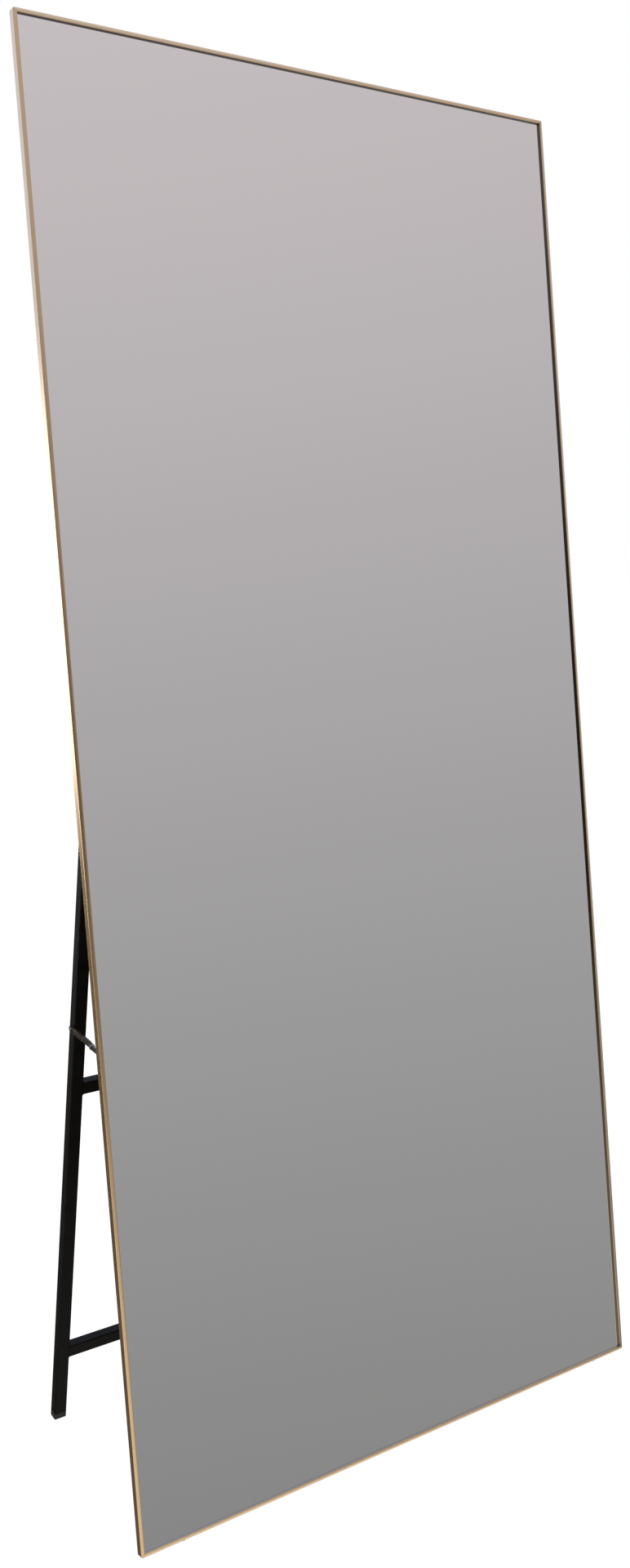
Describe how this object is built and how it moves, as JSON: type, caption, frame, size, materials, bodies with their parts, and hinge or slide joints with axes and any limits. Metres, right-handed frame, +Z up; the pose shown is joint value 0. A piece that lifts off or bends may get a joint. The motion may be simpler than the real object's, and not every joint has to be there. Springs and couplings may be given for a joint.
{
  "type": "leaning floor mirror",
  "caption": "Full-length rectangular floor mirror in a thin champagne aluminium frame, leaning on a folding black tube easel stand with jointed stays.",
  "frame": {"origin": "middle of the footprint at floor level, under the leaning panel", "axes": "+Z up, +X to the right of someone looking into the mirror, +Y to the back towards the stand's feet"},
  "size_m": [0.813, 0.3364, 1.7899],
  "materials": {
    "frame_gold": "brushed and anodised, champagne gold",
    "mirror": "silvered float glass",
    "tape_white": "foam tape, white",
    "board_brown": "pressed hardboard, smooth brown",
    "steel_black": "black powder coat, fine texture",
    "zinc": "zinc plated",
    "stay_bronze": "dark bronze plating",
    "rubber_black": "matt black rubber",
    "plug_black": "matt black plastic",
    "screw_black": "black zinc plated",
    "hinge_black": "black electrophoretic coat, satin"
  },
  "bodies": {
    "mirror": {"frame_rail_left": "frame_gold", "frame_rail_right": "frame_gold", "frame_rail_top": "frame_gold", "frame_rail_bottom": "frame_gold", "mirror_glass": "mirror", "mounting_tape": "tape_white", "backing_board": "board_brown", "corner_brace_bottom_left": "zinc", "corner_brace_bottom_right": "zinc", "corner_brace_top_left": "zinc", "corner_brace_top_right": "zinc", "corner_brace_screws": "zinc", "back_rail_screws": "zinc", "hanger_screws": "zinc", "hinge_screws_mirror": "screw_black", "stay_bracket_screws": "screw_black", "back_rail_upper": "steel_black", "back_rail_lower": "steel_black", "hinge_leaf_mirror_left": "hinge_black", "hinge_pin_left": "zinc", "stay_bracket_left": "stay_bronze", "stay_bracket_rivet_left": "zinc", "hanger_strap_left": "zinc", "bottom_bumper_left": "rubber_black", "hinge_leaf_mirror_right": "hinge_black", "hinge_pin_right": "zinc", "stay_bracket_right": "stay_bronze", "stay_bracket_rivet_right": "zinc", "hanger_strap_right": "zinc", "bottom_bumper_right": "rubber_black"},
    "stand": {"hinge_screws_stand": "screw_black", "hinge_leaf_stand_left": "hinge_black", "stand_leg_left": "steel_black", "foot_cap_left": "rubber_black", "leg_top_plug_left": "plug_black", "stay_leg_rivet_left": "zinc", "hinge_leaf_stand_right": "hinge_black", "stand_leg_right": "steel_black", "foot_cap_right": "rubber_black", "leg_top_plug_right": "plug_black", "stay_leg_rivet_right": "zinc", "stand_bar_top": "steel_black", "stand_bar_middle": "steel_black", "stand_bar_lower": "steel_black"},
    "stay_channel_left": {"stay_channel_link_left": "stay_bronze", "stay_knuckle_boss_left": "zinc"},
    "stay_flat_left": {"stay_flat_link_left": "stay_bronze", "stay_knuckle_rivet_left": "zinc"},
    "hanger_left": {"hanger_ring_left": "zinc"},
    "stay_channel_right": {"stay_channel_link_right": "stay_bronze", "stay_knuckle_boss_right": "zinc"},
    "stay_flat_right": {"stay_flat_link_right": "stay_bronze", "stay_knuckle_rivet_right": "zinc"},
    "hanger_right": {"hanger_ring_right": "zinc"}
  },
  "joints": [
    {"name": "stand_fold", "type": "hinge", "parent": "mirror", "child": "stand", "pos_m": [0, -0.01154, 1.03245], "axis": [-1, 0, 0], "range_deg": [0, 16.66]},
    {"name": "stay_left_leg_pivot", "type": "hinge", "parent": "stand", "child": "stay_channel_left", "pos_m": [0, 0.06562, 0.58541], "axis": [-1, 0, 0], "range_deg": [0, 86.69]},
    {"name": "stay_left_mirror_pivot", "type": "hinge", "parent": "mirror", "child": "stay_flat_left", "pos_m": [0, -0.06712, 0.57192], "axis": [1, 0, 0], "range_deg": [0, 76.75]},
    {"name": "stay_right_leg_pivot", "type": "hinge", "parent": "stand", "child": "stay_channel_right", "pos_m": [0, 0.06562, 0.58541], "axis": [-1, 0, 0], "range_deg": [0, 86.69]},
    {"name": "stay_right_mirror_pivot", "type": "hinge", "parent": "mirror", "child": "stay_flat_right", "pos_m": [0, -0.06712, 0.57192], "axis": [1, 0, 0], "range_deg": [0, 76.75]},
    {"name": "hanger_left_swing", "type": "hinge", "parent": "mirror", "child": "hanger_left", "pos_m": [-0.397, 0.03938, 1.48811], "axis": [1, 0, 0], "range_deg": [-2, 165]},
    {"name": "hanger_right_swing", "type": "hinge", "parent": "mirror", "child": "hanger_right", "pos_m": [0.397, 0.03938, 1.48811], "axis": [1, 0, 0], "range_deg": [-2, 165]}
  ],
  "couplings": [
    {"joint": "stay_left_leg_pivot", "follows": "stand_fold", "ratio": 5.2005},
    {"joint": "stay_left_mirror_pivot", "follows": "stand_fold", "ratio": 4.6038},
    {"joint": "stay_right_leg_pivot", "follows": "stand_fold", "ratio": 5.2005},
    {"joint": "stay_right_mirror_pivot", "follows": "stand_fold", "ratio": 4.6038}
  ]
}
